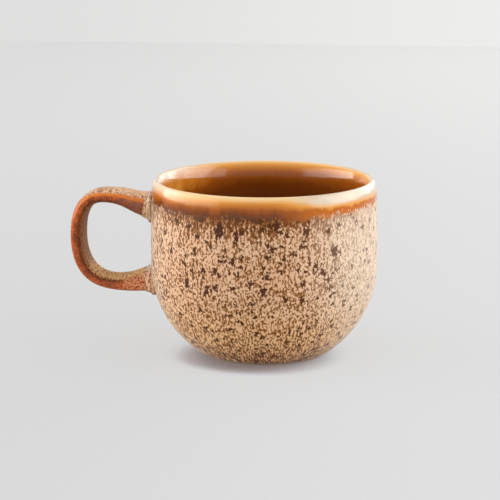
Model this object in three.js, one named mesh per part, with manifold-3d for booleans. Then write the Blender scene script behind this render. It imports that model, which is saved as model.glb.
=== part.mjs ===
// Stoneware espresso cup with a one-finger loop handle, in millimetres, +Z up.
// The thrown cup and the pulled strap handle are luted together with slip. A honey glaze lines the
// inside and rolls over the lip, and a speckled glaze covers the outside and the handle.
// The origin is on the table, under the middle of the cup and handle together.
import * as THREE from "three";
import { mergeVertices, toCreasedNormals } from "three/addons/utils/BufferGeometryUtils.js";
import Module from "manifold-3d";

// Cup, measured over the glaze
const BODY_DIAMETER = 66;
const CUP_HEIGHT = 51;
const BOWL_HEIGHT = 26; // table to where the round bowl turns into the upright wall
const WALL_DRAW_IN = 0.5; // the upright wall leans in by this much on its way up
const WALL_THICKNESS = 3.6;
const FLOOR_HEIGHT = 5.4; // table to the bottom of the well
const WELL_SQUARENESS = 2.6; // 2 is an ellipse, more is a flatter floor with a tighter corner

// Lip, two quarter rounds that meet at the crest
const LIP_OUTER_DROP = 2.6;
const LIP_INNER_DROP = 7; // a long easy curve from the crest into the upright inner wall
const LIP_INNER_WIDTH = 2.1;

// Turned foot, left bare
const FOOT_DIAMETER = 37.6;
const FOOT_HEIGHT = 0.8;
const FOOT_LEDGE = 1; // the bowl overhangs the foot by this much
const FOOT_RING_WIDTH = 3;
const FOOT_RECESS = 1.6;
const FOOT_EDGE = 0.4; // bevel on the foot's corners

// Glaze
const GLAZE_THICKNESS = 0.5;
const RIM_BAND = 5.8; // the honey glaze ends this far below the crest

// Handle, a strap that leaves the wall level, rises to a crown and comes back under
const FINGER_GAP = 20.2; // wall to the inside of the loop, at its widest
const STRAP_WIDTH = 10.4;
const STRAP_THICKNESS = 3.8;
const STRAP_SQUARENESS = 5; // 2 is an oval section, more is a flatter strap
const ROOT_WIDTH = 12;
const ROOT_THICKNESS = 7.6;
const FLARE_LENGTH = 15.5; // the strap thickens over this length towards each root
const CROWN_DROP = 4; // crest of the lip down to the top of the loop
const APEX_DROP = 17.9; // crest of the lip down to the outermost point of the loop
const LOOP_HEIGHT = 29.7; // top to bottom of the loop
const CROWN_SETBACK = 8.4; // crown and belly stand this far in from the outermost point
const BELLY_SETBACK = 12.3;
const UPPER_ROOT_FALL = 2.7; // crown down to the upper root, middle of the strap
const LOWER_ROOT_RISE = 1.3; // belly up to the lower root, middle of the strap
const ROUND_TENSION = 0.66; // 0.55 is a true ellipse, more is a squarer turn
const LEAD_TENSION = 0.5; // how long the strap stays level at each end of a lead

// Slip joint, a pad under each root that squeezes out into a fillet
const SLIP_THICKNESS = 0.8;
const FILLET_SIZE = 0.9;
const FILLET_REACH = 2;

// Clearance left open between neighbouring pieces
const BOND_GAP = 0.1;

// Facets
const SPIN_STEPS = 40;
const BOWL_STEPS = 9;
const WALL_STEPS = 3;
const LIP_STEPS = 4;
const WELL_STEPS = 8;
const STRAP_SIDES = 16;
const STRAP_STEPS = 8; // in each of the loop's four curves
const FILLET_STEPS = 4;
const CREASE_ANGLE = Math.PI / 5;
const MERGE_DISTANCE = 1e-4;

// Finishes
const CLAY = { color: 0xcdb294, roughness: 0.8 };
const SLIP = { color: 0xd9bd98, roughness: 0.5 };
const HONEY_GLAZE = { color: 0xb8702f, roughness: 0.2 };
const SPECKLED_GLAZE = { color: 0xb48a66, roughness: 0.3 };
const RUST_GLAZE = { color: 0xa8653c, roughness: 0.3 };

const bodyRadius = BODY_DIAMETER / 2;
const footRadius = FOOT_DIAMETER / 2;
const handleReach = bodyRadius + FINGER_GAP + STRAP_THICKNESS;
const glazeLine = CUP_HEIGHT - RIM_BAND;
const clayDepth = GLAZE_THICKNESS + BOND_GAP;
const rootDepth = WALL_THICKNESS / 2; // the handle's middle line starts this far inside the wall

const wasm = await Module();
wasm.setup();

// Closed geometry to solid and back, for the joins and cuts
function toSolid(geometry) {
  const bare = geometry.clone();
  bare.deleteAttribute("normal");
  bare.deleteAttribute("uv");
  const merged = mergeVertices(bare, MERGE_DISTANCE);
  const vertProperties = merged.attributes.position.array;
  const triVerts = new Uint32Array(merged.index.array);
  return new wasm.Manifold(new wasm.Mesh({ numProp: 3, vertProperties, triVerts }));
}

function toGeometry(solid) {
  const { vertProperties, triVerts } = solid.getMesh();
  const geometry = new THREE.BufferGeometry();
  geometry.setAttribute("position", new THREE.BufferAttribute(vertProperties, 3));
  geometry.setIndex(new THREE.BufferAttribute(triVerts, 1));
  return toCreasedNormals(geometry, CREASE_ANGLE);
}

// Outer radius of the glazed cup at a height
const bowlBaseRadius = footRadius + FOOT_LEDGE;
const bowlAngle = Math.acos(bowlBaseRadius / bodyRadius);
const bowlDepth = (BOWL_HEIGHT - FOOT_HEIGHT) / Math.sin(bowlAngle);

function outerRadius(z) {
  if (z < BOWL_HEIGHT) {
    const fall = (BOWL_HEIGHT - z) / bowlDepth;
    return bodyRadius * Math.sqrt(1 - fall * fall);
  }
  const rise = (z - BOWL_HEIGHT) / (CUP_HEIGHT - BOWL_HEIGHT);
  return bodyRadius - WALL_DRAW_IN * rise * rise;
}

// Points of a stretch of the profile, from a function of 0 to 1, without its first point
function stretch(steps, pointAt) {
  return Array.from({ length: steps }, (_, i) => pointAt((i + 1) / steps));
}

function wallStretch(fromZ, toZ, steps, inset) {
  return stretch(steps, (t) => {
    const z = THREE.MathUtils.lerp(fromZ, toZ, t);
    return new THREE.Vector2(outerRadius(z) - inset, z);
  });
}

// Half section of the glazed surface: up the outside, over the lip and down into the well
function glazedProfile() {
  const lipZ = CUP_HEIGHT - LIP_OUTER_DROP;
  const mouthZ = CUP_HEIGHT - LIP_INNER_DROP;
  const mouthRadius = outerRadius(mouthZ) - WALL_THICKNESS;
  const crestRadius = mouthRadius + LIP_INNER_WIDTH;
  const lipWidth = outerRadius(lipZ) - crestRadius;
  const wellRadius = bodyRadius - WALL_THICKNESS;
  const wellDepth = BOWL_HEIGHT - FLOOR_HEIGHT;
  const wellPower = 2 / WELL_SQUARENESS;

  const outside = [
    new THREE.Vector2(bowlBaseRadius, FOOT_HEIGHT),
    ...stretch(BOWL_STEPS, (t) => {
      const angle = bowlAngle * (1 - t);
      return new THREE.Vector2(bodyRadius * Math.cos(angle), BOWL_HEIGHT - bowlDepth * Math.sin(angle));
    }),
    ...wallStretch(BOWL_HEIGHT, glazeLine, WALL_STEPS, 0),
  ];
  const overLip = [
    ...wallStretch(glazeLine, lipZ, 1, 0),
    ...stretch(LIP_STEPS, (t) => {
      const angle = (t * Math.PI) / 2;
      const r = crestRadius + lipWidth * Math.cos(angle);
      return new THREE.Vector2(r, lipZ + LIP_OUTER_DROP * Math.sin(angle));
    }),
  ];
  const inside = [
    ...stretch(LIP_STEPS, (t) => {
      const angle = (t * Math.PI) / 2;
      const r = crestRadius - LIP_INNER_WIDTH * Math.sin(angle);
      return new THREE.Vector2(r, mouthZ + LIP_INNER_DROP * Math.cos(angle));
    }),
    ...wallStretch(mouthZ, BOWL_HEIGHT, WALL_STEPS, WALL_THICKNESS),
    ...stretch(WELL_STEPS, (t) => {
      const angle = (t * Math.PI) / 2;
      const r = t < 1 ? wellRadius * Math.cos(angle) ** wellPower : 0;
      return new THREE.Vector2(r, BOWL_HEIGHT - wellDepth * Math.sin(angle) ** wellPower);
    }),
  ];
  return {
    points: [...outside, ...overLip, ...inside],
    lineIndex: outside.length - 1,
    crestIndex: outside.length + overLip.length - 1,
  };
}

const skin = glazedProfile();

// Unit vector from the glazed surface into the clay, at each point of the profile
const intoClay = skin.points.map((_, i, points) => {
  const before = points[Math.max(i - 1, 0)];
  const after = points[Math.min(i + 1, points.length - 1)];
  const along = after.clone().sub(before).normalize();
  return new THREE.Vector2(-along.y, along.x);
});

// The profile moved into the clay by a depth, ending on the axis as the glazed one does
function profileAt(depth) {
  return skin.points.map((point, i) => {
    const moved = point.clone().addScaledVector(intoClay[i], depth);
    return point.x > 0 ? moved : moved.setX(0);
  });
}

function spin(profile) {
  return new THREE.LatheGeometry(profile, SPIN_STEPS).rotateX(Math.PI / 2);
}

// Clay cup: recessed underside, foot ring, outside, lip and well
function cupBody() {
  const ringInner = footRadius - FOOT_RING_WIDTH;
  const foot = [
    [0, FOOT_RECESS],
    [ringInner - FOOT_EDGE, FOOT_RECESS],
    [ringInner, FOOT_RECESS - FOOT_EDGE],
    [ringInner, FOOT_EDGE],
    [ringInner + FOOT_EDGE, 0],
    [footRadius - FOOT_EDGE, 0],
    [footRadius, FOOT_EDGE],
    [footRadius, FOOT_HEIGHT],
  ].map(([r, z]) => new THREE.Vector2(r, z));
  return spin([...foot, ...profileAt(clayDepth)]);
}

// Honey glaze: from the glaze line over the lip to the middle of the well
function linerGlaze() {
  const face = profileAt(0).slice(skin.lineIndex);
  const back = profileAt(GLAZE_THICKNESS).slice(skin.lineIndex);
  face[0].y += BOND_GAP / 2;
  back[0].y += BOND_GAP / 2;
  return toSolid(spin([...back.reverse(), ...face]));
}

// Speckled glaze: from just above the foot to the glaze line
function outerGlaze() {
  const face = profileAt(0).slice(0, skin.lineIndex + 1);
  const back = profileAt(GLAZE_THICKNESS).slice(0, skin.lineIndex + 1);
  face.at(-1).y -= BOND_GAP / 2;
  back.at(-1).y -= BOND_GAP / 2;
  return toSolid(spin([...face, ...back.reverse(), face[0]]));
}

// The cup's outside as a filled solid, standing out from the clay, to cut the roots to the wall
function wallFilled(standOff) {
  const outside = profileAt(clayDepth - standOff).slice(0, skin.crestIndex + 1);
  const axisPoint = (point) => new THREE.Vector2(0, point.y);
  return toSolid(spin([axisPoint(outside[0]), ...outside, axisPoint(outside.at(-1))]));
}

// Middle line of the handle, in the plane y = 0: lead out, over the crown, round the belly, lead in
function handlePath() {
  const point = (x, z) => new THREE.Vector3(x, 0, z);
  const level = (from, to, share) => point(THREE.MathUtils.lerp(from.x, to.x, share), from.z);
  const upright = (from, to, share) => point(from.x, THREE.MathUtils.lerp(from.z, to.z, share));
  const crownZ = CUP_HEIGHT - CROWN_DROP - STRAP_THICKNESS / 2;
  const bellyZ = crownZ - LOOP_HEIGHT + STRAP_THICKNESS;
  const apex = point(STRAP_THICKNESS / 2 - handleReach, CUP_HEIGHT - APEX_DROP);
  const crown = point(apex.x + CROWN_SETBACK, crownZ);
  const belly = point(apex.x + BELLY_SETBACK, bellyZ);
  const rootAt = (z) => point(rootDepth - outerRadius(z), z);
  const upperRoot = rootAt(crownZ - UPPER_ROOT_FALL);
  const lowerRoot = rootAt(bellyZ + LOWER_ROOT_RISE);

  const path = new THREE.CurvePath();
  const curve = (...points) => path.add(new THREE.CubicBezierCurve3(...points));
  curve(upperRoot, level(upperRoot, crown, LEAD_TENSION), level(crown, upperRoot, LEAD_TENSION), crown);
  curve(crown, level(crown, apex, ROUND_TENSION), upright(apex, crown, ROUND_TENSION), apex);
  curve(apex, upright(apex, belly, ROUND_TENSION), level(belly, apex, ROUND_TENSION), belly);
  curve(belly, level(belly, lowerRoot, LEAD_TENSION), level(lowerRoot, belly, LEAD_TENSION), lowerRoot);
  return path;
}

const path = handlePath();
const pathLength = path.getLength();
const coatStart = rootDepth + FILLET_REACH; // the handle's glaze starts where the slip fillet ends

// One ring of the strap at a distance along the middle line, grown all round by a given amount
function strapRing(distance, grow) {
  const u = THREE.MathUtils.clamp(distance / pathLength, 0, 1);
  const centre = path.getPoint(u);
  const across = new THREE.Vector3(0, 1, 0);
  const outward = across.clone().cross(path.getTangent(u));
  const fromRoot = Math.min(distance, pathLength - distance) - rootDepth;
  const flare = (1 - THREE.MathUtils.clamp(fromRoot / FLARE_LENGTH, 0, 1)) ** 2;
  const halfWidth = THREE.MathUtils.lerp(STRAP_WIDTH, ROOT_WIDTH, flare) / 2 + grow;
  const halfThickness = THREE.MathUtils.lerp(STRAP_THICKNESS, ROOT_THICKNESS, flare) / 2 + grow;
  const power = 2 / STRAP_SQUARENESS;
  const squared = (value) => Math.sign(value) * Math.abs(value) ** power;
  return Array.from({ length: STRAP_SIDES }, (_, i) => {
    const angle = (i / STRAP_SIDES) * 2 * Math.PI;
    return centre
      .clone()
      .addScaledVector(across, halfWidth * squared(Math.cos(angle)))
      .addScaledVector(outward, halfThickness * squared(Math.sin(angle)));
  });
}

// Rings skinned into a closed solid with flat ends
function loft(rings) {
  const sides = rings[0].length;
  const last = (rings.length - 1) * sides;
  const triangles = [];
  for (let start = 0; start < last; start += sides) {
    for (let j = 0; j < sides; j += 1) {
      const next = (j + 1) % sides;
      triangles.push(start + j, start + sides + j, start + next);
      triangles.push(start + next, start + sides + j, start + sides + next);
    }
  }
  for (let j = 1; j + 1 < sides; j += 1) {
    triangles.push(0, j, j + 1);
    triangles.push(last, last + j + 1, last + j);
  }
  const geometry = new THREE.BufferGeometry().setFromPoints(rings.flat());
  geometry.setIndex(triangles);
  return toSolid(geometry);
}

// A run of the strap between two distances along the middle line
function strap(from, to, grow) {
  const lengths = path.getCurveLengths();
  const stations = lengths.flatMap((end, k) => {
    const begin = k > 0 ? lengths[k - 1] : 0;
    return Array.from({ length: STRAP_STEPS }, (_, i) => THREE.MathUtils.lerp(begin, end, i / STRAP_STEPS));
  });
  const shortest = pathLength / lengths.length / STRAP_STEPS / 2;
  const inner = stations.filter((s) => s > from + shortest && s < to - shortest);
  return loft([from, ...inner, to].map((s) => strapRing(s, grow)));
}

// Clay handle, its ends hollowed to sit on the slip
function handleCore() {
  return strap(0, pathLength, -clayDepth).subtract(wallFilled(SLIP_THICKNESS));
}

// Speckled glaze round the handle, a sleeve that is open at both ends
function handleGlaze() {
  const bore = strap(rootDepth, pathLength - rootDepth, -GLAZE_THICKNESS);
  return strap(coatStart + BOND_GAP, pathLength - coatStart - BOND_GAP, 0).subtract(bore);
}

// A trumpet round one root: straight inside the wall, then a quarter round fillet down to the strap
function rootTrumpet(place, grow) {
  const fillet = Array.from({ length: FILLET_STEPS + 1 }, (_, i) => {
    const angle = ((i / FILLET_STEPS) * Math.PI) / 2;
    const distance = rootDepth + FILLET_REACH * (1 - Math.cos(angle));
    return strapRing(place(distance), FILLET_SIZE * (1 - Math.sin(angle)) + grow);
  });
  const rings = [strapRing(place(0), FILLET_SIZE + grow), ...fillet];
  return loft(place(0) > 0 ? rings.reverse() : rings);
}

const fromUpperRoot = (distance) => distance;
const fromLowerRoot = (distance) => pathLength - distance;

// Slip joint: the pad between wall and handle, with the fillet that squeezes out round the root
function slipJoint(place) {
  const seat = strap(0, pathLength, BOND_GAP - clayDepth).subtract(wallFilled(SLIP_THICKNESS - BOND_GAP));
  return rootTrumpet(place, 0).subtract(wallFilled(BOND_GAP)).subtract(seat);
}

// Openings in the wall's glaze where the slip reaches the clay
function aroundRoots(coat) {
  return [fromUpperRoot, fromLowerRoot]
    .map((place) => rootTrumpet(place, BOND_GAP))
    .reduce((rest, root) => rest.subtract(root), coat);
}

function piece(name, geometry, finish) {
  const mesh = new THREE.Mesh(geometry, new THREE.MeshStandardMaterial({ ...finish, metalness: 0 }));
  mesh.name = name;
  return mesh;
}

const vessel = new THREE.Group();
vessel.add(
  piece("cup_body", cupBody(), CLAY),
  piece("liner_glaze", toGeometry(aroundRoots(linerGlaze())), HONEY_GLAZE),
  piece("outer_glaze", toGeometry(aroundRoots(outerGlaze())), SPECKLED_GLAZE),
);

const grip = new THREE.Group();
grip.add(
  piece("handle", toGeometry(handleCore()), CLAY),
  piece("handle_glaze", toGeometry(handleGlaze()), RUST_GLAZE),
  piece("upper_slip_joint", toGeometry(slipJoint(fromUpperRoot)), SLIP),
  piece("lower_slip_joint", toGeometry(slipJoint(fromLowerRoot)), SLIP),
);

const cup = new THREE.Group();
cup.add(vessel, grip);
cup.position.x = (handleReach - bodyRadius) / 2;

const part = new THREE.Group();
part.add(cup);

export default part;
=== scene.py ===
# Looks of a stoneware espresso cup with a loop handle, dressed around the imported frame, in metres.
import math

import bmesh
import bpy
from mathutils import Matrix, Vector


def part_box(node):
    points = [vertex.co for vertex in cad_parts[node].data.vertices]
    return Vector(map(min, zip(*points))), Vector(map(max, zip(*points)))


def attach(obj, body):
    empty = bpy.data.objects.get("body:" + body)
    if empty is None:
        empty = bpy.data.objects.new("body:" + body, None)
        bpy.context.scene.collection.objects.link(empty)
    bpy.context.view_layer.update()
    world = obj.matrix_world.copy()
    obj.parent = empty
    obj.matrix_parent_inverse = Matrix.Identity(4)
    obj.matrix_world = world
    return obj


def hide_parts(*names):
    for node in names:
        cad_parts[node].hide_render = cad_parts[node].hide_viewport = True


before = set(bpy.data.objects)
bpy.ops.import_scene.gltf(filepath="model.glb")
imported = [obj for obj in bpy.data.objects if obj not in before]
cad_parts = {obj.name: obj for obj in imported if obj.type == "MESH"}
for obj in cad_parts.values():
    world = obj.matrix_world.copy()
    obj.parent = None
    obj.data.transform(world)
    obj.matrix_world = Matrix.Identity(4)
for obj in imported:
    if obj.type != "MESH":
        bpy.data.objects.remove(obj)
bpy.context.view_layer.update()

MM = 0.001

# Sizes read from the frame
outer_low, outer_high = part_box("outer_glaze")
liner_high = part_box("liner_glaze")[1]
grip_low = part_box("handle_glaze")[0]
AXIS_X = (outer_low.x + outer_high.x) / 2
BODY_RADIUS = (outer_high.x - outer_low.x) / 2
CUP_HEIGHT = liner_high.z
FOOT_HEIGHT = outer_low.z
HANDLE_REACH = AXIS_X - grip_low.x

# Cup
BOWL_HEIGHT = 26 * MM
WALL_DRAW_IN = 0.5 * MM
WALL_THICKNESS = 3.6 * MM
FLOOR_HEIGHT = 5.4 * MM
WELL_SQUARENESS = 2.6
LIP_OUTER_DROP = 4.5 * MM
LIP_INNER_DROP = 7 * MM
LIP_INNER_WIDTH = 2.1 * MM
FOOT_RADIUS = 18.8 * MM
FOOT_LEDGE = 1 * MM
FOOT_RING_WIDTH = 3 * MM
FOOT_RECESS = 1.6 * MM
FOOT_EDGE = 0.4 * MM
GLAZE_THICKNESS = 0.5 * MM
GLAZE_LINE = CUP_HEIGHT - 5.8 * MM
CLAY_DEPTH = 0.6 * MM

# Handle
STRAP_WIDTH = 10.4 * MM
STRAP_THICKNESS = 3.8 * MM
STRAP_SQUARENESS = 5
COAT_SQUARENESS = 3.2  # the glaze thins over the strap's corners
ROOT_WIDTH = 12 * MM
ROOT_THICKNESS = 7.6 * MM
ROOT_DEPTH = WALL_THICKNESS / 2
FLARE_LENGTH = 15.5 * MM
CROWN_DROP = 4 * MM
APEX_DROP = 17.9 * MM
LOOP_HEIGHT = 29.7 * MM
CROWN_SETBACK = 8.4 * MM
BELLY_SETBACK = 12.3 * MM
UPPER_ROOT_FALL = 2.7 * MM
LOWER_ROOT_RISE = 1.3 * MM
ROUND_TENSION = 0.66
LEAD_TENSION = 0.5
FILLET_SIZE = 0.9 * MM
LOWER_FILLET_SIZE = 0.5 * MM
FILLET_REACH = 2 * MM
FILLET_ROOT = 0.9 * MM  # the slip's collar starts this far along the middle line, inside the wall

# Facets
SPIN_STEPS = 180
BOWL_STEPS = 36
WALL_STEPS = 14
BAND_STEPS = 4
LIP_STEPS = 14
WELL_STEPS = 32
STRAP_SIDES = 72
STRAP_STEPS = 132
PATH_STEPS = 60
FILLET_STEPS = 10
SHARP_ANGLE = math.radians(38)

# Photograph's view, with angles in degrees
VIEW_AZIMUTH = 7.4 - 90  # from +x, so a little round from the front
VIEW_ELEVATION = 12.38
VIEW_DISTANCE = 0.5848
VIEW_TARGET = Vector((AXIS_X, 0, 25 * MM))
VIEW_LENS = 144
VIEW_SHIFT = (-0.0284, 0.0314)

# Stage
STAGE_HALF = 2.5
WALL_Y = 0.84
WALL_HEIGHT = 1.2
# The wall and the table brighten to the right as painted light.
WALL_FADE = (-0.28, 0.08)  # along x, from the darker tone to the brighter one
TABLE_FADE = (-0.06, 0.10)
WALL_SHARE = 1.0  # of what the camera sees, the share in a tone that no lamp changes
TABLE_SHARE = 0.8
STAGE_ROUGHNESS = 0.9
SEEN_RAYS = ("Is Camera Ray", "Is Glossy Ray", "Is Transmission Ray")
CONTACT_REACH = 9 * MM
CONTACT_OPEN = (0.42, 0.82)  # open shares at which the contact shade is full and gone
CONTACT_SIDE = (0.25, 0.95, 0.0)  # looks mainly backwards for the cup, so the shade lies in front of it
CONTACT_SAMPLES = 8
LAMP_DISTANCE = 0.8
LAMP_AIM = Vector((AXIS_X, 0, 30 * MM))
LAMP_MIDDLE = 0.5  # of a lamp's width or height
LAMP_EDGE = 0.1
WORLD_STRENGTH = 0.80

# Colours, linear
CREAM = (0.82, 0.53, 0.335, 1)
PEACH = (0.79, 0.475, 0.285, 1)
SAND = (0.74, 0.465, 0.235, 1)
BUFF = (0.94, 0.65, 0.33, 1)
# Painted highlight on the lip
PAINTED_LIP_HIGHLIGHT = (0.72, 0.57, 0.42, 1)
IVORY = (0.66, 0.44, 0.26, 1)
# Painted sheen at the cup's sides
PAINTED_SHEEN = (0.85, 0.67, 0.50, 1)
STRAW = (0.92, 0.56, 0.27, 1)
SIENNA = (0.32, 0.125, 0.034, 1)
BROWN = (0.135, 0.038, 0.004, 1)
CHARCOAL = (0.088, 0.020, 0.004, 1)
MAROON = (0.125, 0.034, 0.008, 1)
DOT_BROWN = (0.10, 0.028, 0.003, 1)
SLATE = (0.11, 0.075, 0.066, 1)
HONEY = (0.86, 0.37, 0.062, 1)
AMBER = (0.64, 0.21, 0.022, 1)
TOFFEE = (0.38, 0.095, 0.007, 1)
COFFEE = (0.215, 0.050, 0.006, 1)
UMBER = (0.115, 0.040, 0.015, 1)
CARAMEL = (0.60, 0.145, 0.004, 1)
# Thin glaze and a painted highlight on the strap's upper outer edge
THIN_GLAZE_AND_HIGHLIGHT = (0.88, 0.25, 0.04, 1)
RUST = (0.62, 0.135, 0.040, 1)
RUSSET = (0.27, 0.062, 0.020, 1)
TERRACOTTA = (0.74, 0.38, 0.19, 1)
# Painted shade and painted light on the strap's inner face
SHADED_TAN = (0.30, 0.155, 0.05, 1)
LIT_GOLD = (0.72, 0.44, 0.18, 1)
OLIVE = (0.075, 0.034, 0.012, 1)
LILAC = (0.30, 0.16, 0.12, 1)
BARE_CLAY = (0.56, 0.42, 0.29, 1)
DARK_CLAY = (0.46, 0.33, 0.22, 1)
WHITE = (1, 1, 1, 1)
FLOOR_WHITE = (0.54, 0.54, 0.54, 1)
# Painted light: the table's and the wall's tones brighten to the right
TABLE_LEFT = (0.715, 0.715, 0.715, 1)
TABLE_RIGHT = (0.775, 0.775, 0.775, 1)
WALL_LEFT = (0.745, 0.745, 0.74, 1)
WALL_RIGHT = (0.845, 0.845, 0.835, 1)
CONTACT_SHADOW = (0.12, 0.05, 0.045, 1)

# Finishes
SATIN_ROUGHNESS = 0.45
SATIN_SPECULAR = 0.16
SHEEN_WEIGHT = 0.3
SHEEN_ROUGHNESS = 0.3
GLOSS_ROUGHNESS = 0.08
SLIP_ROUGHNESS = 0.25
GLAZE_SPECULAR = 0.36
RUST_ROUGHNESS = (0.65, 0.22)  # on the strap's faces and on its sides
RUST_SPECULAR = 0.14
CLAY_ROUGHNESS = 0.85

# Glaze patterns, in millimetres: x from the cup's axis, negative towards the handle, and heights
DRUM_RADIUS = BODY_RADIUS / MM
LINE_MM = GLAZE_LINE / MM
LIP_MM = CUP_HEIGHT / MM

# Parts of a noise's range
NOISE_MIDDLE = 0.5
NOISE_CORE = (0.35, 0.65)
NOISE_BULK = (0.3, 0.7)
NOISE_SPAN = (0.25, 0.75)

# Speckles; a crowd is added to their field, so that more of it shows
CURL_SCALE = 1.7
STRAND_SCALE = 1.9
CURLS = (0.45, 0.56)  # of the field, from bare ground to brown
HEARTS = (0.57, 0.71)  # from brown to dark
STRAND_HEIGHT = (34, 43)
FRINGE_DEPTH = 7  # below the glaze line
FRINGE_CROWD = 0.14
FRINGE_WIDTH = (10, 26)  # either way from the middle, where the fringe thins
FRINGE_LEAST = 0.35
CLUSTER_CROWD = 0.02
STREAK_CROWD = (-0.075, 0.06)
STREAK_HEIGHT = (20, 36)
STREAK_LEAST = 0.3
HEM_HEIGHT = (1, 9)
HEM_CROWD = 0.05

# Ground under the speckles
SAND_PATCHES = (0.5, 0.75)
SAND_SHARE = 0.6
# The ground and the marks turn pale at both sides as a painted sheen, most on the far side.
FAR_SIDE = (12, 30)
FAR_PAINTED_VEIL = (18, 32)
HANDLE_SIDE = (-33, -20)
FAR_PAINTED_SHEEN = 0.95
HANDLE_PAINTED_SHEEN = 0.6
SPECKLE_PAINTED_SHEEN = 0.35
VEIL_PAINTED_SHEEN = 0.25
STRAW_HEIGHT = (8, 24)
STRAW_SHARE = 0.8
STAIN_DEPTH = 2.6  # below the glaze line

# Spots and dots
SPOT_TRIM = 1.05  # the spots come out this many times smaller than listed
SPOT_EDGE = (0.7, 1.35)  # from full to gone, in half sizes
SPOT_BREAK = 0.4
SPOT_RED_SIDE = (6, 16)
GLINTS = (0.6, 0.72)
DOT_DENSITY = 0.34  # dots in a millimetre, along any line
DOT_EDGE = (0.55, 0.9)  # from full to gone, in millimetres
DOT_BREAK = 0.25
DOT_RED_SIDE = (4, 20)
SPOTS = [  # degrees round from the front, height, half width and half height
    (-15, 41, 1.3, 2.2),
    (-6, 40, 0.8, 1.4),
    (-14.5, 33, 1.2, 0.9),
    (-8, 33.2, 0.8, 1.2),
    (-4.5, 31.5, 0.8, 0.7),
    (11, 36.8, 0.7, 1.8),
    (26.5, 37, 1.0, 1.0),
    (44, 35, 1.1, 1.8),
    (33, 31.2, 0.8, 1.2),
    (37, 29.2, 0.7, 1.5),
    (40, 27.2, 1.1, 0.9),
    (8.5, 29.2, 1.2, 1.4),
    (7, 25, 1.2, 1.5),
    (0.5, 26.8, 0.7, 1.1),
    (-16.5, 25.5, 0.9, 1.3),
    (-22, 23.8, 0.9, 1.0),
    (-33.5, 25.2, 1.1, 1.2),
    (-23.5, 29.8, 0.8, 0.8),
    (-17.5, 29.8, 0.8, 0.9),
    (1.5, 13.8, 0.8, 1.0),
    (-36.5, 11.8, 0.8, 1.4),
    (29.5, 18, 1.1, 0.7),
    (51, 19.8, 0.9, 1.0),
    (13.5, 43, 0.9, 1.2),
    (28, 41.2, 0.8, 1.4),
]

# Honey band
LINE_LEAN = 0.035  # the glaze line sinks by this share of the way towards the handle
DRIP_REACH = 0.9
DRIP_HEIGHT = (LINE_MM, LIP_MM - 1.5)  # drips sway all of the line and none of the lip
FEATHER_FIELD = (0.35, 0.75)
FEATHER_REACH = 0.9
FEATHER_EDGE = (-0.4, 0.6)  # above the glaze line
BAND_STOPS = [  # height above the glaze line and colour
    (0.0, UMBER),
    (1.4, COFFEE),
    (2.6, TOFFEE),
    (3.7, AMBER),
    (4.9, HONEY),
]
QUICK_SIDE = (5, 25)  # the band's colours change quicker here
QUICK_PACE = 2.0
SLOW_SIDE = (-31, -22)
SLOW_PACE = 0.75
THIN_SIDE = (6, 20)
THIN_HEIGHT = (1.0, 2.4)  # above the glaze line
CREST_EDGE = (LIP_MM - 1.8, LIP_MM - 0.1)
# The paler and wider crest away from the handle is a painted highlight.
CREST_HIGHLIGHT_SIDE = (8, 20)
CREST_HIGHLIGHT_REACH_SIDE = (8, 22)
CREST_GAIN = 1.9  # the crest's colour comes this much lower there

# Honey inside
CREST_RADIUS = DRUM_RADIUS - 1.8
CREST_BLEND = 0.8
WELL_STOPS = [  # height and colour
    (LIP_MM - 25, UMBER),
    (LIP_MM - 7, COFFEE),
    (LIP_MM - 3.4, TOFFEE),
    (LIP_MM - 2.0, AMBER),
    (LIP_MM - 0.9, HONEY),
    (LIP_MM, BUFF),
]
WELL_CLOUD = 0.6
WELL_FREE = (LIP_MM - 7, LIP_MM - 1)  # the clouds sway all of the well and none of the lip
# The pale colours reach lower on the handle's side, partly as painted light on the inner wall that faces the
# window lamp.
WELL_PALE_SIDE = (-29, -10)
WELL_PALE_DROP = 4.6  # the pale colours come this much lower there
# A painted highlight on the lip above the handle
LIP_HIGHLIGHT_SIDE = (-31, -17)
LIP_HIGHLIGHT_SHARE = 0.8
LIP_HIGHLIGHT_EDGE = (LIP_MM - 3, LIP_MM - 0.5)

# Handle's glaze; turns are shares of the surface's direction
LOOP_MIDDLE = (-43.5, 0, 32)
SIDE_TURN = (0.35, 0.75)
SIDE_RAGGED = 0.2
OUTER_TURN = (-0.2, 0.2)
# The inner face is tan as painted shade, and gold as painted light where it faces up.
GOLD_TURN = (0.2, 0.9)
GOLD_THINNING = 0.06
TOP_TURN = (0.5, 0.9)
# Fewer speckles on the crown's top towards the upper root are a painted highlight.
TOP_HIGHLIGHT_SIDE = (-47, -39)
TOP_HIGHLIGHT_FADE = 0.1
FLECKS = (0.5, 0.62)
FLECK_SHARE = 0.6
ROOT_SIDE = (-44, -38)
ROOT_RAGGED = 3
ROOT_SHARE = 0.9
UPPER_ROOT = (30, 40)
CORNER_TURN = (-0.4, 0.1)
CORNER_SHARE = (0.75, 0.3)  # on the loop and at the roots
# The orange upper outer edge is thin glaze with a painted highlight, stronger higher up.
EDGE_OUT_TURN = (0.0, 0.35)
EDGE_SIDE_TURN = (0.3, 0.7)
EDGE_HEIGHT = (34, 46)
EDGE_SHARE = (0.06, 0.75)
UPPER_SLIP = (28, 38)
SLIP_STRETCH = 0.4  # less than 1 draws the slip's speckles out upwards


# Profile of the cup, as (radius, height) pairs

BOWL_BASE_RADIUS = FOOT_RADIUS + FOOT_LEDGE
BOWL_ANGLE = math.acos(BOWL_BASE_RADIUS / BODY_RADIUS)
BOWL_DEPTH = (BOWL_HEIGHT - FOOT_HEIGHT) / math.sin(BOWL_ANGLE)


def lerp(a, b, t):
    return a + (b - a) * t


def clamp(value, low=0.0, high=1.0):
    return min(max(value, low), high)


def steps(count):
    """Fractions from just above 0 up to 1."""
    return [(i + 1) / count for i in range(count)]


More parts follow.
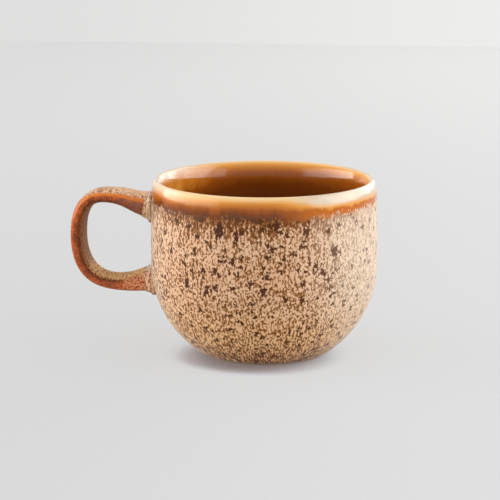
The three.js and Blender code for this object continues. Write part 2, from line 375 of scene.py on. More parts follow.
def outer_radius(z):
    if z < BOWL_HEIGHT:
        fall = (BOWL_HEIGHT - z) / BOWL_DEPTH
        return BODY_RADIUS * math.sqrt(1 - fall * fall)
    rise = (z - BOWL_HEIGHT) / (CUP_HEIGHT - BOWL_HEIGHT)
    return BODY_RADIUS - WALL_DRAW_IN * rise * rise


def wall_points(from_z, to_z, count, inset=0.0):
    heights = [lerp(from_z, to_z, t) for t in steps(count)]
    return [(outer_radius(z) - inset, z) for z in heights]


def outside_profile():
    """Up the bowl and the wall to the glaze line."""
    points = [(BOWL_BASE_RADIUS, FOOT_HEIGHT)]
    for t in steps(BOWL_STEPS):
        angle = BOWL_ANGLE * (1 - t)
        points.append((BODY_RADIUS * math.cos(angle), BOWL_HEIGHT - BOWL_DEPTH * math.sin(angle)))
    return points + wall_points(BOWL_HEIGHT, GLAZE_LINE, WALL_STEPS)


def inside_profile():
    """From the glaze line over the lip and down to the middle of the well."""
    lip_z = CUP_HEIGHT - LIP_OUTER_DROP
    mouth_z = CUP_HEIGHT - LIP_INNER_DROP
    crest_radius = outer_radius(mouth_z) - WALL_THICKNESS + LIP_INNER_WIDTH
    lip_width = outer_radius(lip_z) - crest_radius
    well_radius = BODY_RADIUS - WALL_THICKNESS
    well_depth = BOWL_HEIGHT - FLOOR_HEIGHT
    power = 2 / WELL_SQUARENESS
    quarter = [t * math.pi / 2 for t in steps(LIP_STEPS)]
    points = [(outer_radius(GLAZE_LINE), GLAZE_LINE)]
    points += wall_points(GLAZE_LINE, lip_z, BAND_STEPS)
    points += [
        (crest_radius + lip_width * math.cos(a), lip_z + LIP_OUTER_DROP * math.sin(a)) for a in quarter
    ]
    points += [
        (crest_radius - LIP_INNER_WIDTH * math.sin(a), mouth_z + LIP_INNER_DROP * math.cos(a))
        for a in quarter
    ]
    points += wall_points(mouth_z, BOWL_HEIGHT, WALL_STEPS, WALL_THICKNESS)
    for t in steps(WELL_STEPS):
        angle = t * math.pi / 2
        radius = well_radius * math.cos(angle) ** power if t < 1 else 0.0
        points.append((radius, BOWL_HEIGHT - well_depth * math.sin(angle) ** power))
    return points


def moved_in(points, depth):
    """The profile moved into the clay by a depth, square to itself."""
    moved = []
    for i, (radius, z) in enumerate(points):
        before = points[max(i - 1, 0)]
        after = points[min(i + 1, len(points) - 1)]
        along = Vector((after[0] - before[0], after[1] - before[1])).normalized()
        new_radius = radius - along.y * depth if radius > 0 else 0.0
        moved.append((new_radius, z + along.x * depth))
    return moved


# Meshes

def new_piece(name, verts, faces, material):
    mesh = bpy.data.meshes.new(name)
    mesh.from_pydata(verts, [], faces)
    bm = bmesh.new()
    bm.from_mesh(mesh)
    bmesh.ops.recalc_face_normals(bm, faces=bm.faces)
    bm.to_mesh(mesh)
    bm.free()
    mesh.shade_smooth()
    mesh.set_sharp_from_angle(angle=SHARP_ANGLE)
    mesh.materials.append(material)
    obj = bpy.data.objects.new(name, mesh)
    bpy.context.collection.objects.link(obj)
    return obj


def lathe(name, profile, material, closed=False):
    """A profile spun about the cup's axis; a closed one joins its last point to its first."""
    verts = []
    rings = []
    for radius, z in profile:
        spin = SPIN_STEPS if radius > 0 else 1
        first = len(verts)
        for i in range(spin):
            angle = 2 * math.pi * i / SPIN_STEPS
            verts.append((AXIS_X + radius * math.cos(angle), radius * math.sin(angle), z))
        rings.append([first + i % spin for i in range(SPIN_STEPS)])
    pairs = list(zip(rings, rings[1:]))
    if closed:
        pairs.append((rings[-1], rings[0]))
    faces = []
    for low, high in pairs:
        for i in range(SPIN_STEPS):
            j = (i + 1) % SPIN_STEPS
            corners = [low[i], low[j], high[j], high[i]]
            faces.append(tuple(dict.fromkeys(corners)))
    return new_piece(name, verts, faces, material)


def sleeve(name, outer, inner, material):
    """A tube with a wall: rings up the outside, then back down the inside."""
    rings = outer + inner[::-1]
    sides = len(rings[0])
    verts = [point for ring in rings for point in ring]
    faces = []
    for k in range(len(rings)):
        low = k * sides
        high = (k + 1) % len(rings) * sides
        for i in range(sides):
            j = (i + 1) % sides
            faces.append((low + i, low + j, high + j, high + i))
    return new_piece(name, verts, faces, material)


# Middle line of the handle

def bezier(points, t):
    s = 1 - t
    a, b, c, d = points
    return a * s**3 + b * 3 * s * s * t + c * 3 * s * t * t + d * t**3


def handle_line():
    """Points down the middle of the strap, from the upper root to the lower one."""
    def at(x, z):
        return Vector((AXIS_X + x, 0, z))

    def level(start, end, share):
        return Vector((lerp(start.x, end.x, share), 0, start.z))

    def upright(start, end, share):
        return Vector((start.x, 0, lerp(start.z, end.z, share)))

    crown_z = CUP_HEIGHT - CROWN_DROP - STRAP_THICKNESS / 2
    belly_z = crown_z - LOOP_HEIGHT + STRAP_THICKNESS
    apex_x = STRAP_THICKNESS / 2 - HANDLE_REACH
    upper_z = crown_z - UPPER_ROOT_FALL
    lower_z = belly_z + LOWER_ROOT_RISE
    apex = at(apex_x, CUP_HEIGHT - APEX_DROP)
    crown = at(apex_x + CROWN_SETBACK, crown_z)
    belly = at(apex_x + BELLY_SETBACK, belly_z)
    upper = at(ROOT_DEPTH - outer_radius(upper_z), upper_z)
    lower = at(ROOT_DEPTH - outer_radius(lower_z), lower_z)
    curves = [
        (upper, level(upper, crown, LEAD_TENSION), level(crown, upper, LEAD_TENSION), crown),
        (crown, level(crown, apex, ROUND_TENSION), upright(apex, crown, ROUND_TENSION), apex),
        (apex, upright(apex, belly, ROUND_TENSION), level(belly, apex, ROUND_TENSION), belly),
        (belly, level(belly, lower, LEAD_TENSION), level(lower, belly, LEAD_TENSION), lower),
    ]
    return [upper] + [bezier(curve, t) for curve in curves for t in steps(PATH_STEPS)]


LINE = handle_line()
LINE_MARKS = [0.0]
for start, end in zip(LINE, LINE[1:]):
    LINE_MARKS.append(LINE_MARKS[-1] + (end - start).length)
LINE_LENGTH = LINE_MARKS[-1]
COAT_START = ROOT_DEPTH + FILLET_REACH


def along_line(distance):
    """Place on the middle line and the direction there."""
    k = 0
    while k < len(LINE) - 2 and LINE_MARKS[k + 1] < distance:
        k += 1
    share = (distance - LINE_MARKS[k]) / (LINE_MARKS[k + 1] - LINE_MARKS[k])
    before = LINE[max(k - 1, 0)]
    after = LINE[min(k + 2, len(LINE) - 1)]
    return LINE[k].lerp(LINE[k + 1], share), (after - before).normalized()


def squared(value, squareness):
    return math.copysign(abs(value) ** (2 / squareness), value)


def strap_ring(distance, grow, squareness=STRAP_SQUARENESS):
    """One ring of the strap, grown all round by a given amount."""
    centre, tangent = along_line(distance)
    across = Vector((0, 1, 0))
    outward = across.cross(tangent)
    from_root = min(distance, LINE_LENGTH - distance) - ROOT_DEPTH
    flare = (1 - clamp(from_root / FLARE_LENGTH)) ** 2
    half_width = lerp(STRAP_WIDTH, ROOT_WIDTH, flare) / 2 + grow
    half_thickness = lerp(STRAP_THICKNESS, ROOT_THICKNESS, flare) / 2 + grow
    ring = []
    for i in range(STRAP_SIDES):
        angle = 2 * math.pi * i / STRAP_SIDES
        to_side = across * (half_width * squared(math.cos(angle), squareness))
        to_face = outward * (half_thickness * squared(math.sin(angle), squareness))
        ring.append(centre + to_side + to_face)
    return ring


# Nodes

MIX_SOCKETS = {"RGBA": (6, 7, 2), "FLOAT": (2, 3, 0)}  # places of both inputs and the result on a mix node


class Nodes:
    """Adds linked nodes to one node tree."""

    def __init__(self, tree):
        self.tree = tree

    def feed(self, socket, value):
        """Sets an input, or links it where the value comes from another node."""
        if isinstance(value, bpy.types.NodeSocket):
            self.tree.links.new(value, socket)
        else:
            socket.default_value = value

    def add(self, kind, inputs, **settings):
        node = self.tree.nodes.new(kind)
        for name, value in settings.items():
            setattr(node, name, value)
        for key, value in inputs.items():
            self.feed(node.inputs[key], value)
        return node

    def coordinates(self, kind):
        return self.add("ShaderNodeTexCoord", {}).outputs[kind]

    def split(self, place):
        outputs = self.add("ShaderNodeSeparateXYZ", {"Vector": place}).outputs
        return outputs["X"], outputs["Y"], outputs["Z"]

    def math(self, operation, a, b=0.0):
        return self.add("ShaderNodeMath", {0: a, 1: b}, operation=operation).outputs[0]

    def chain(self, operation, values):
        """One operation over a row of values, from the first to the last."""
        result = values[0]
        for value in values[1:]:
            result = self.math(operation, result, value)
        return result

    def total(self, *values):
        return self.chain("ADD", values)

    def product(self, *values):
        return self.chain("MULTIPLY", values)

    def vector(self, operation, a, b=(0, 0, 0)):
        return self.add("ShaderNodeVectorMath", {0: a, 1: b}, operation=operation).outputs["Vector"]

    def measure(self, operation, a, b=(0, 0, 0)):
        return self.add("ShaderNodeVectorMath", {0: a, 1: b}, operation=operation).outputs["Value"]

    def scaled(self, place, scale):
        return self.vector("MULTIPLY", place, scale)

    def rise(self, value, span, ends=(0.0, 1.0)):
        """Goes smoothly from the first end to the second as the value goes along the span."""
        low, high = span
        bottom, top = ends
        inputs = {"Value": value, "From Min": low, "From Max": high, "To Min": bottom, "To Max": top}
        return self.add("ShaderNodeMapRange", inputs, interpolation_type="SMOOTHSTEP").outputs["Result"]

    def fall(self, value, span, top=1.0):
        """Sinks smoothly from the top to nothing as the value goes along the span."""
        return self.rise(value, span, (top, 0.0))

    def sway(self, value, span, reach):
        """Goes smoothly from minus the reach to the reach as the value goes along the span."""
        return self.rise(value, span, (-reach, reach))

    def noise(self, place, scale, detail=2.0, roughness=0.5, output="Fac"):
        inputs = {"Vector": place, "Scale": scale, "Detail": detail, "Roughness": roughness}
        return self.add("ShaderNodeTexNoise", inputs).outputs[output]

    def mix(self, share, a, b, kind="RGBA"):
        """Goes from a to b, both colours unless the kind is FLOAT, as the share goes from 0 to 1."""
        first, second, result = MIX_SOCKETS[kind]
        inputs = {"Factor": share, first: a, second: b}
        return self.add("ShaderNodeMix", inputs, data_type=kind).outputs[result]

    def ramp(self, value, stops):
        """A run of colours; each stop is a value and its colour."""
        low = stops[0][0]
        reach = stops[-1][0] - low
        share = self.math("DIVIDE", self.math("SUBTRACT", value, low), reach)
        node = self.add("ShaderNodeValToRGB", {"Fac": share})
        band = node.color_ramp.elements
        band.remove(band[1])
        band[0].position = 0.0
        band[0].color = stops[0][1]
        for at, colour in stops[1:]:
            band.new((at - low) / reach).color = colour
        return node.outputs["Color"]

    def bump(self, height, strength, depth):
        inputs = {"Height": height, "Strength": strength, "Distance": depth}
        return self.add("ShaderNodeBump", inputs).outputs["Normal"]


class MaterialNodes(Nodes):
    """The nodes of a new material."""

    def __init__(self, name):
        self.material = bpy.data.materials.new(name)
        self.material.use_nodes = True
        super().__init__(self.material.node_tree)
        self.shader = self.tree.nodes["Principled BSDF"]

    def shade(self, inputs):
        for name, value in inputs.items():
            self.feed(self.shader.inputs[name], value)


def cup_space(nodes):
    """Place on the object in millimetres, measured from the cup's axis."""
    inputs = {
        "Vector": nodes.coordinates("Object"),
        "Location": (-AXIS_X / MM, 0, 0),
        "Scale": (1 / MM, 1 / MM, 1 / MM),
    }
    return nodes.add("ShaderNodeMapping", inputs).outputs["Vector"]


def warped(nodes, place, scale, reach):
    """The place pushed about by a soft noise, so that marks curl."""
    push = nodes.noise(place, scale, detail=1.0, output="Color")
    centred = nodes.vector("SUBTRACT", push, (NOISE_MIDDLE, NOISE_MIDDLE, NOISE_MIDDLE))
    return nodes.vector("ADD", place, nodes.scaled(centred, (reach, reach, reach)))


def wrapped(nodes, place, stretch):
    """The place moved out to a drum round the cup, so that marks run straight up and down it."""
    outward = nodes.vector("NORMALIZE", nodes.scaled(place, (1, 1, 0)))
    drum = nodes.scaled(outward, (DRUM_RADIUS, DRUM_RADIUS, DRUM_RADIUS))
    return nodes.vector("ADD", drum, nodes.scaled(place, (0, 0, stretch)))


# Speckles and spots

def ground_colour(nodes, place):
    """Cream that drifts to peach and sand."""
    drift = nodes.noise(place, scale=0.11)
    patch = nodes.noise(place, scale=0.45)
    warm = nodes.mix(nodes.rise(drift, NOISE_CORE), CREAM, PEACH)
    return nodes.mix(nodes.rise(patch, SAND_PATCHES, (0.0, SAND_SHARE)), warm, SAND)


def strokes(nodes, place, scale=CURL_SCALE):
    """A field whose high parts are fine curls."""
    curled = warped(nodes, place, scale=0.9, reach=0.6)
    return nodes.noise(curled, scale, detail=1.5, roughness=0.55)


def speckled(nodes, ground, field, pale=SIENNA, dark=BROWN):
    """Brown curls with darker hearts over the ground."""
    brown = nodes.mix(nodes.rise(field, CURLS), ground, pale)
    return nodes.mix(nodes.rise(field, HEARTS), brown, dark)


def spot_mask(nodes, place, field):
    """The large spots, with edges pulled about and broken by the speckles' field."""
    ragged = warped(nodes, place, scale=0.7, reach=1.6)
    distances = []
    for degrees, height, half_width, half_height in SPOTS:
        angle = math.radians(degrees)
        centre = (DRUM_RADIUS * math.sin(angle), -DRUM_RADIUS * math.cos(angle), height)
        wide = SPOT_TRIM / half_width
        high = SPOT_TRIM / half_height
        in_spot = nodes.scaled(nodes.vector("SUBTRACT", ragged, centre), (wide, wide, high))
        distances.append(nodes.measure("LENGTH", in_spot))
    nearest = nodes.chain("MINIMUM", distances)
    broken = nodes.sway(field, NOISE_CORE, -SPOT_BREAK)
    return nodes.fall(nodes.total(nearest, broken), SPOT_EDGE)


def dot_mask(nodes, place, field):
    """Dots of mixed sizes all over, with edges pulled about and broken by the speckles' field."""
    ragged = warped(nodes, place, scale=0.9, reach=1.0)
    cells = nodes.add("ShaderNodeTexVoronoi", {"Vector": ragged, "Scale": DOT_DENSITY})
    away = nodes.math("DIVIDE", cells.outputs["Distance"], DOT_DENSITY)
    broken = nodes.sway(field, NOISE_CORE, -DOT_BREAK)
    return nodes.fall(nodes.total(away, broken), DOT_EDGE)


def spotted(nodes, place, field, colour):
    """Charcoal spots with slate glints, redder on the side away from the handle, and small dots."""
    x = nodes.split(place)[0]
    dot = nodes.mix(nodes.rise(x, DOT_RED_SIDE), DOT_BROWN, MAROON)
    dotted = nodes.mix(dot_mask(nodes, place, field), colour, dot)
    glint = nodes.noise(place, scale=1.6, detail=1.0)
    dark = nodes.mix(nodes.rise(x, SPOT_RED_SIDE), CHARCOAL, MAROON)
    spot = nodes.mix(nodes.rise(glint, GLINTS), dark, SLATE)
    return nodes.mix(spot_mask(nodes, place, field), dotted, spot)


# Outside of the cup

def run_height(nodes, place):
    """Height as the glaze ran: leaning towards the handle and swayed by drips."""
    x, _, z = nodes.split(place)
    lean = nodes.product(nodes.math("MINIMUM", x, 0.0), LINE_LEAN)
    drips = nodes.noise(wrapped(nodes, place, stretch=0.3), scale=0.3, detail=3.0, roughness=0.55)
    swayed = nodes.product(nodes.sway(drips, NOISE_SPAN, DRIP_REACH), nodes.fall(z, DRIP_HEIGHT))
    return nodes.total(nodes.math("SUBTRACT", z, lean), swayed)


def speckle_field(nodes, place, height, fringe):
    """Curls that turn to strands higher up, crowded under the glaze line, in streaks and at the hem."""
    z = nodes.split(place)[2]
    curls = strokes(nodes, wrapped(nodes, place, stretch=0.7))
    strands = strokes(nodes, wrapped(nodes, place, stretch=0.6), STRAND_SCALE)
    streak = nodes.noise(wrapped(nodes, place, stretch=0.14), scale=1.3, detail=1.0)
    cluster = nodes.noise(place, scale=0.16)
    under_line = nodes.rise(height, (LINE_MM - FRINGE_DEPTH, LINE_MM), (0.0, FRINGE_CROWD))
    streaks = nodes.rise(streak, NOISE_SPAN, STREAK_CROWD)
    return nodes.total(
        nodes.mix(nodes.rise(z, STRAND_HEIGHT), curls, strands, "FLOAT"),
        nodes.product(under_line, fringe),
        nodes.sway(cluster, NOISE_BULK, CLUSTER_CROWD),
        nodes.product(streaks, nodes.rise(z, STREAK_HEIGHT, (STREAK_LEAST, 1.0))),
        nodes.fall(z, HEM_HEIGHT, HEM_CROWD),
    )


def body_colour(nodes, place, height, fringe, field):
    """Speckles and spots on a ground with a painted sheen at both sides, straw low down and stained at the
    line; the painted sheen veils the marks on the far side too.
    """
    x, _, z = nodes.split(place)
    # painted sheen at both sides
    sides = nodes.total(nodes.rise(x, FAR_SIDE, (0.0, FAR_PAINTED_SHEEN)), nodes.fall(x, HANDLE_SIDE, HANDLE_PAINTED_SHEEN))
    pale = nodes.mix(sides, ground_colour(nodes, place), PAINTED_SHEEN)
    low = nodes.mix(nodes.fall(z, STRAW_HEIGHT, STRAW_SHARE), pale, STRAW)
    stain = nodes.product(nodes.rise(height, (LINE_MM - STAIN_DEPTH, LINE_MM)), fringe)
    marked = speckled(nodes, nodes.mix(stain, low, TOFFEE), field)
    sheen_painted = nodes.mix(nodes.rise(x, FAR_SIDE, (0.0, SPECKLE_PAINTED_SHEEN)), marked, PAINTED_SHEEN)
    return nodes.mix(nodes.rise(x, FAR_PAINTED_VEIL, (0.0, VEIL_PAINTED_SHEEN)), spotted(nodes, place, field, sheen_painted), PAINTED_SHEEN)


def band_colour(nodes, x, above):
    """Honey glaze, from umber at its line to honey under the lip, and caramel where it is thin."""
    quick = nodes.rise(x, QUICK_SIDE, (1.0, QUICK_PACE))
    slow = nodes.rise(x, SLOW_SIDE, (SLOW_PACE, 1.0))
    run = nodes.ramp(nodes.product(above, nodes.product(quick, slow)), BAND_STOPS)
    thin = nodes.product(nodes.rise(x, THIN_SIDE), nodes.fall(above, THIN_HEIGHT))
    return nodes.mix(thin, run, CARAMEL)


def cup_colour(nodes):
    """The speckled body, the honey band with its feathered line and the pale crest of the lip, which carries
    a painted highlight on the side away from the handle.
    """
    place = cup_space(nodes)
    x, _, z = nodes.split(place)
    height = run_height(nodes, place)
    fringe = nodes.rise(nodes.math("ABSOLUTE", x), FRINGE_WIDTH, (1.0, FRINGE_LEAST))
    field = speckle_field(nodes, place, height, fringe)
    body = body_colour(nodes, place, height, fringe, field)
    above = nodes.math("SUBTRACT", height, LINE_MM)
    feathered = nodes.total(above, nodes.sway(field, FEATHER_FIELD, FEATHER_REACH))
    glazed = nodes.mix(nodes.rise(feathered, FEATHER_EDGE), body, band_colour(nodes, x, above))
    # painted highlight on the crest away from the handle, reaching lower there
    crest = nodes.mix(nodes.rise(x, CREST_HIGHLIGHT_SIDE), BUFF, PAINTED_LIP_HIGHLIGHT)
    reached = nodes.total(z, nodes.rise(x, CREST_HIGHLIGHT_REACH_SIDE, (0.0, CREST_GAIN)))
    return nodes.mix(nodes.rise(reached, CREST_EDGE), glazed, crest)


# Materials

def glaze_finish(nodes, place, roughness, specular):
    """A faintly uneven surface of the given gloss."""
    uneven = nodes.noise(place, scale=0.35)
    normal = nodes.bump(uneven, strength=0.12, depth=0.2 * MM)
    nodes.shade({"Normal": normal, "Roughness": roughness, "Specular IOR Level": specular})


def speckled_glaze():
    nodes = MaterialNodes("speckled_glaze")
    nodes.shade({"Base Color": cup_colour(nodes)})
    nodes.shade({"Sheen Weight": SHEEN_WEIGHT, "Sheen Roughness": SHEEN_ROUGHNESS})
    glaze_finish(nodes, cup_space(nodes), SATIN_ROUGHNESS, SATIN_SPECULAR)
    return nodes.material


def well_colour(nodes, place):
    """Buff at the lip to umber down in the well, clouded, with the pale part deeper on the handle's side,
    partly as glaze that ran and partly as painted light on the inner wall that faces the window lamp.
    """
    x, _, z = nodes.split(place)
    cloud = nodes.noise(place, scale=0.3, detail=3.0)
    clouded = nodes.sway(cloud, NOISE_BULK, WELL_CLOUD)
    drift = nodes.total(clouded, nodes.fall(x, WELL_PALE_SIDE, WELL_PALE_DROP))
    drifted = nodes.total(z, nodes.product(drift, nodes.fall(z, WELL_FREE)))
    return nodes.ramp(drifted, WELL_STOPS)


def honey_glaze():
    """The band outside the crest and the well inside it, with a painted highlight on the lip above the
    handle.
    """
    nodes = MaterialNodes("honey_glaze")
    place = cup_space(nodes)
    x, _, z = nodes.split(place)
    from_axis = nodes.measure("LENGTH", nodes.scaled(place, (1, 1, 0)))
    within = nodes.fall(from_axis, (CREST_RADIUS - CREST_BLEND, CREST_RADIUS))
    glaze = nodes.mix(within, cup_colour(nodes), well_colour(nodes, place))
    # painted highlight on the lip above the handle
    lip_highlight = nodes.product(nodes.fall(x, LIP_HIGHLIGHT_SIDE, LIP_HIGHLIGHT_SHARE), nodes.rise(z, LIP_HIGHLIGHT_EDGE))
    nodes.shade({"Base Color": nodes.mix(lip_highlight, glaze, PAINTED_LIP_HIGHLIGHT)})
    glaze_finish(nodes, place, GLOSS_ROUGHNESS, GLAZE_SPECULAR)
    return nodes.material


def strap_faces(nodes, place, field, rust, upward, outward):
    """On the inner face tan as painted shade, turning gold as painted light where it faces up; on the outer
    one rust, and cream where it lies level, with fewer speckles towards the upper root as a painted
    highlight.
    """
    x = nodes.split(place)[0]
    # painted shade on the inner face, and painted light where it faces up
    lit_and_shaded_inner = nodes.mix(nodes.rise(upward, GOLD_TURN), SHADED_TAN, LIT_GOLD)
    inner_field = nodes.math("SUBTRACT", field, nodes.rise(upward, GOLD_TURN, (0.0, GOLD_THINNING)))
    inner = speckled(nodes, lit_and_shaded_inner, inner_field, RUSSET, OLIVE)
    outer_ground = nodes.mix(nodes.rise(upward, TOP_TURN), rust, ground_colour(nodes, place))
    # painted highlight: fewer speckles on the top towards the upper root
    outer_field = nodes.math("SUBTRACT", field, nodes.rise(x, TOP_HIGHLIGHT_SIDE, (0.0, TOP_HIGHLIGHT_FADE)))
    outer = speckled(nodes, outer_ground, outer_field)
    return nodes.mix(nodes.rise(outward, OUTER_TURN), inner, outer)


def strap_sides(nodes, place, field, cloud, rust, sideways, outward):
    """Flecked rust, speckled at the roots, dark by the inner corner, and orange on the upper outer edge,
    where thin glaze carries a painted highlight.
    """
    x, _, z = nodes.split(place)
    near_root = nodes.rise(nodes.total(x, nodes.sway(cloud, NOISE_BULK, ROOT_RAGGED)), ROOT_SIDE)
    flecked = nodes.mix(nodes.rise(field, FLECKS, (0.0, FLECK_SHARE)), rust, MAROON)
    lower_root = speckled(nodes, TERRACOTTA, field, RUST, RUSSET)
    upper_root = speckled(nodes, RUSSET, field, LILAC, MAROON)
    root = nodes.mix(nodes.rise(z, UPPER_ROOT), lower_root, upper_root)
    side = nodes.mix(nodes.product(near_root, ROOT_SHARE), flecked, root)
    corner = nodes.product(
        nodes.fall(outward, CORNER_TURN),
        nodes.rise(near_root, (0.0, 1.0), CORNER_SHARE),
    )
    # thin glaze and a painted highlight on the upper outer edge
    edge = nodes.product(
        nodes.rise(outward, EDGE_OUT_TURN),
        nodes.rise(sideways, EDGE_SIDE_TURN),
        nodes.rise(z, EDGE_HEIGHT, EDGE_SHARE),
    )
    return nodes.mix(edge, nodes.mix(corner, side, MAROON), THIN_GLAZE_AND_HIGHLIGHT)


def rust_glaze():
    """Speckled on the strap's inner and outer faces and rust on its sides."""
    nodes = MaterialNodes("rust_glaze")
    place = cup_space(nodes)
    normal = nodes.coordinates("Normal")
    _, sideward, upward = nodes.split(normal)
    sideways = nodes.math("ABSOLUTE", sideward)
    from_middle = nodes.scaled(nodes.vector("SUBTRACT", place, LOOP_MIDDLE), (1, 0, 1))
    outward = nodes.measure("DOT_PRODUCT", normal, nodes.vector("NORMALIZE", from_middle))
    field = strokes(nodes, place)
    cloud = nodes.noise(place, scale=0.5, detail=3.0, roughness=0.6)
    rust = nodes.mix(nodes.rise(cloud, NOISE_CORE), RUST, RUSSET)
    faces = strap_faces(nodes, place, field, rust, upward, outward)
    sides = strap_sides(nodes, place, field, cloud, rust, sideways, outward)
    is_side = nodes.rise(nodes.total(sideways, nodes.sway(field, NOISE_BULK, SIDE_RAGGED)), SIDE_TURN)
    nodes.shade({"Base Color": nodes.mix(is_side, faces, sides)})
    glaze_finish(nodes, place, nodes.rise(is_side, (0.0, 1.0), RUST_ROUGHNESS), RUST_SPECULAR)
    return nodes.material


def slip_glaze():
    nodes = MaterialNodes("slip")
    place = cup_space(nodes)
    ground = nodes.mix(nodes.rise(nodes.split(place)[2], UPPER_SLIP), PEACH, IVORY)
    upright = nodes.scaled(place, (1, 1, SLIP_STRETCH))
    nodes.shade({"Base Color": speckled(nodes, ground, strokes(nodes, upright))})
    glaze_finish(nodes, place, SLIP_ROUGHNESS, GLAZE_SPECULAR)
    return nodes.material


def clay():
    nodes = MaterialNodes("clay")
    grain = nodes.noise(cup_space(nodes), scale=2.5, detail=4.0, roughness=0.65)
    nodes.shade({
        "Base Color": nodes.mix(nodes.rise(grain, NOISE_BULK), DARK_CLAY, BARE_CLAY),
        "Normal": nodes.bump(grain, strength=0.3, depth=0.1 * MM),
        "Roughness": CLAY_ROUGHNESS,
    })
    return nodes.material


CLAY = clay()
SPECKLED_GLAZE = speckled_glaze()
HONEY_GLAZE = honey_glaze()
RUST_GLAZE = rust_glaze()
SLIP = slip_glaze()


# Pieces

def dress(piece, slot, *nodes):
    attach(piece, "root")
    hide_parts(*nodes)


def clay_cup():
    ring_inner = FOOT_RADIUS - FOOT_RING_WIDTH
    foot = [
        (0.0, FOOT_RECESS),
        (ring_inner - FOOT_EDGE, FOOT_RECESS),
        (ring_inner, FOOT_RECESS - FOOT_EDGE),
        (ring_inner, FOOT_EDGE),
        (ring_inner + FOOT_EDGE, 0.0),
        (FOOT_RADIUS - FOOT_EDGE, 0.0),
        (FOOT_RADIUS, FOOT_EDGE),
        (FOOT_RADIUS, FOOT_HEIGHT),
    ]
    skin = outside_profile() + inside_profile()[1:]
    piece = lathe("clay_cup", foot + moved_in(skin, CLAY_DEPTH), CLAY)
    dress(piece, "clay", "cup_body")


def outer_coat():
    face = outside_profile()
    back = moved_in(face, GLAZE_THICKNESS)[::-1]
    piece = lathe("outer_coat", face + back, SPECKLED_GLAZE, closed=True)
    dress(piece, "speckled_glaze", "outer_glaze")


def inner_coat():
    face = inside_profile()
    back = moved_in(face, GLAZE_THICKNESS)[::-1]
    piece = lathe("inner_coat", back + face, HONEY_GLAZE)
    dress(piece, "honey_glaze", "liner_glaze")


def handle_coat():
    shares = [i / STRAP_STEPS for i in range(STRAP_STEPS + 1)]
    marks = [lerp(COAT_START, LINE_LENGTH - COAT_START, share) for share in shares]
    outer = [strap_ring(mark, 0.0, COAT_SQUARENESS) for mark in marks]
    inner = [strap_ring(mark, -GLAZE_THICKNESS) for mark in marks]
    piece = sleeve("handle_coat", outer, inner, RUST_GLAZE)
    dress(piece, "rust_glaze", "handle_glaze")


def slip_collar(name, node, size, from_end):
    """A collar round one root: straight inside the wall, then a quarter round down to the strap."""
    marks = [FILLET_ROOT]
    growth = [size]
    for i in range(FILLET_STEPS + 1):
        angle = i / FILLET_STEPS * math.pi / 2
        marks.append(ROOT_DEPTH + FILLET_REACH * (1 - math.cos(angle)))
        growth.append(size * (1 - math.sin(angle)))
    places = [LINE_LENGTH - mark if from_end else mark for mark in marks]
    outer = [strap_ring(place, grow) for place, grow in zip(places, growth)]
    inner = [strap_ring(place, -GLAZE_THICKNESS) for place in places]
    dress(sleeve(name, outer, inner, SLIP), "slip", node)


clay_cup()
outer_coat()
inner_coat()
handle_coat()
slip_collar("upper_collar", "upper_slip_joint", FILLET_SIZE, False)
slip_collar("lower_collar", "lower_slip_joint", LOWER_FILLET_SIZE, True)
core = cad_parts["handle"]
core.data.materials.clear()
core.data.materials.append(CLAY)


# Stage, light and camera

def wall_tone(nodes):
    """White with painted light, brighter to the right."""
    x = nodes.split(nodes.coordinates("Object"))[0]
    return nodes.mix(nodes.rise(x, WALL_FADE), WALL_LEFT, WALL_RIGHT)


def table_tone(nodes):
    """White with painted light, brighter to the right, with a painted shadow close to the cup, running into
    the wall's tone.
    """
    x, y, _ = nodes.split(nodes.coordinates("Object"))
    front = nodes.mix(nodes.rise(x, TABLE_FADE), TABLE_LEFT, TABLE_RIGHT)
    inputs = {"Distance": CONTACT_REACH, "Normal": nodes.vector("NORMALIZE", CONTACT_SIDE)}
    nearby = nodes.add("ShaderNodeAmbientOcclusion", inputs, samples=CONTACT_SAMPLES)
    shaded = nodes.mix(nodes.rise(nearby.outputs["AO"], CONTACT_OPEN), CONTACT_SHADOW, front)
    return nodes.mix(nodes.rise(y, (0.0, WALL_Y)), shaded, wall_tone(nodes))


def glowing(name, colour, tone, share):
    """A pale sheet that the camera and reflections see, by a share, in a tone that no lamp changes."""
    nodes = MaterialNodes(name)
    nodes.shade({"Base Color": colour, "Roughness": STAGE_ROUGHNESS})
    rays = nodes.add("ShaderNodeLightPath", {}).outputs
    seen = nodes.chain("MAXIMUM", [rays[kind] for kind in SEEN_RAYS])
    glow = nodes.add("ShaderNodeEmission", {"Color": tone(nodes)})
    inputs = {
        0: nodes.product(seen, share),
        1: nodes.shader.outputs["BSDF"],
        2: glow.outputs["Emission"],
    }
    either = nodes.add("ShaderNodeMixShader", inputs)
    nodes.feed(nodes.tree.nodes["Material Output"].inputs["Surface"], either.outputs["Shader"])
    return nodes.material


def stage_sheet(name, first_edge, second_edge, material):
    """A sheet as wide as the stage between two edges, each given as y and z."""
    left = -STAGE_HALF
    right = STAGE_HALF
    corners = [(left, *first_edge), (right, *first_edge), (right, *second_edge), (left, *second_edge)]
    mesh = bpy.data.meshes.new(name)
    mesh.from_pydata(corners, [], [(0, 1, 2, 3)])
    mesh.materials.append(material)
    obj = bpy.data.objects.new(name, mesh)
    bpy.context.collection.objects.link(obj)


def stage():
    table = glowing("table", FLOOR_WHITE, table_tone, TABLE_SHARE)
    wall = glowing("wall", WALL_LEFT, wall_tone, WALL_SHARE)
    stage_sheet("floor", (-STAGE_HALF, 0), (WALL_Y, 0), table)
    stage_sheet("backdrop", (WALL_Y, 0), (WALL_Y, WALL_HEIGHT), wall)


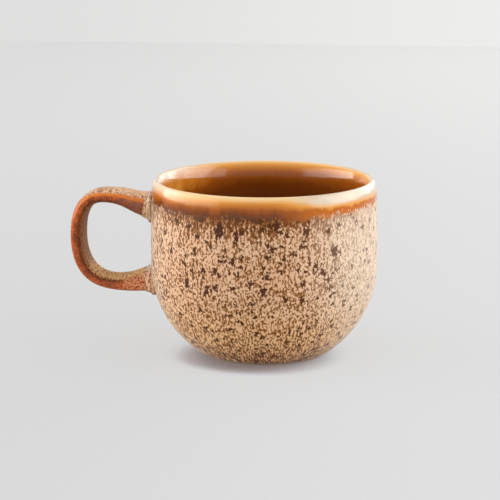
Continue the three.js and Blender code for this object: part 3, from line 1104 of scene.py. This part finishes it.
def aimed(name, data, target, azimuth, elevation, distance):
    """A lamp or camera that looks at a target; its angles are degrees, and the azimuth counts from +x."""
    flat = math.cos(math.radians(elevation))
    outward = Vector((
        math.cos(math.radians(azimuth)) * flat,
        math.sin(math.radians(azimuth)) * flat,
        math.sin(math.radians(elevation)),
    ))
    obj = bpy.data.objects.new(name, data)
    obj.location = target + outward * distance
    obj.rotation_euler = outward.to_track_quat("Z", "Y").to_euler()
    bpy.context.collection.objects.link(obj)
    return obj


def softbox(name, azimuth, elevation, half_width, half_height, radiance, fade=1.0):
    """A rectangular lamp, placed and sized by angles in degrees as seen from the cup.

    It is as bright as the radiance says, dims to a share of it at one end and fades out at its edges.
    """
    light = bpy.data.lights.new(name, "AREA")
    light.shape = "RECTANGLE"
    light.size = 2 * LAMP_DISTANCE * math.tan(math.radians(half_width))
    light.size_y = 2 * LAMP_DISTANCE * math.tan(math.radians(half_height))
    light.energy = radiance * math.pi * light.size * light.size_y
    light.use_nodes = True
    nodes = Nodes(light.node_tree)
    across, up, _ = nodes.split(nodes.add("ShaderNodeNewGeometry", {}).outputs["Parametric"])
    strength = nodes.rise(across, (0.0, 1.0), (1.0, fade))
    for way in (across, up):
        from_middle = nodes.math("ABSOLUTE", nodes.math("SUBTRACT", way, LAMP_MIDDLE))
        strength = nodes.product(strength, nodes.fall(from_middle, (LAMP_MIDDLE - LAMP_EDGE, LAMP_MIDDLE)))
    nodes.feed(nodes.tree.nodes["Emission"].inputs["Strength"], strength)
    obj = aimed(name, light, LAMP_AIM, azimuth, elevation, LAMP_DISTANCE)
    obj.visible_camera = False
    return obj


def reflected_card(name, **settings):
    """A softbox that shows in reflections only."""
    softbox(name, **settings).visible_diffuse = False


def lights():
    softbox("window", azimuth=-6, elevation=14, half_width=32, half_height=17, radiance=2.5)
    softbox("back_window", azimuth=62, elevation=15, half_width=22, half_height=17, radiance=2.2)
    softbox("fill", azimuth=190, elevation=14, half_width=38, half_height=17, radiance=6.2, fade=0.15)
    reflected_card("right_card", azimuth=22, elevation=27, half_width=38, half_height=26, radiance=3.6)
    reflected_card("left_card", azimuth=201, elevation=16, half_width=32, half_height=14, radiance=1.8)
    world = bpy.data.worlds.new("studio")
    world.use_nodes = True
    background = world.node_tree.nodes["Background"]
    background.inputs["Color"].default_value = WHITE
    background.inputs["Strength"].default_value = WORLD_STRENGTH
    bpy.context.scene.world = world


def camera():
    data = bpy.data.cameras.new("camera")
    data.lens = VIEW_LENS
    data.shift_x, data.shift_y = VIEW_SHIFT
    obj = aimed("camera", data, VIEW_TARGET, VIEW_AZIMUTH, VIEW_ELEVATION, VIEW_DISTANCE)
    bpy.context.scene.camera = obj


stage()
lights()
camera()
bpy.context.scene.view_settings.view_transform = "Standard"
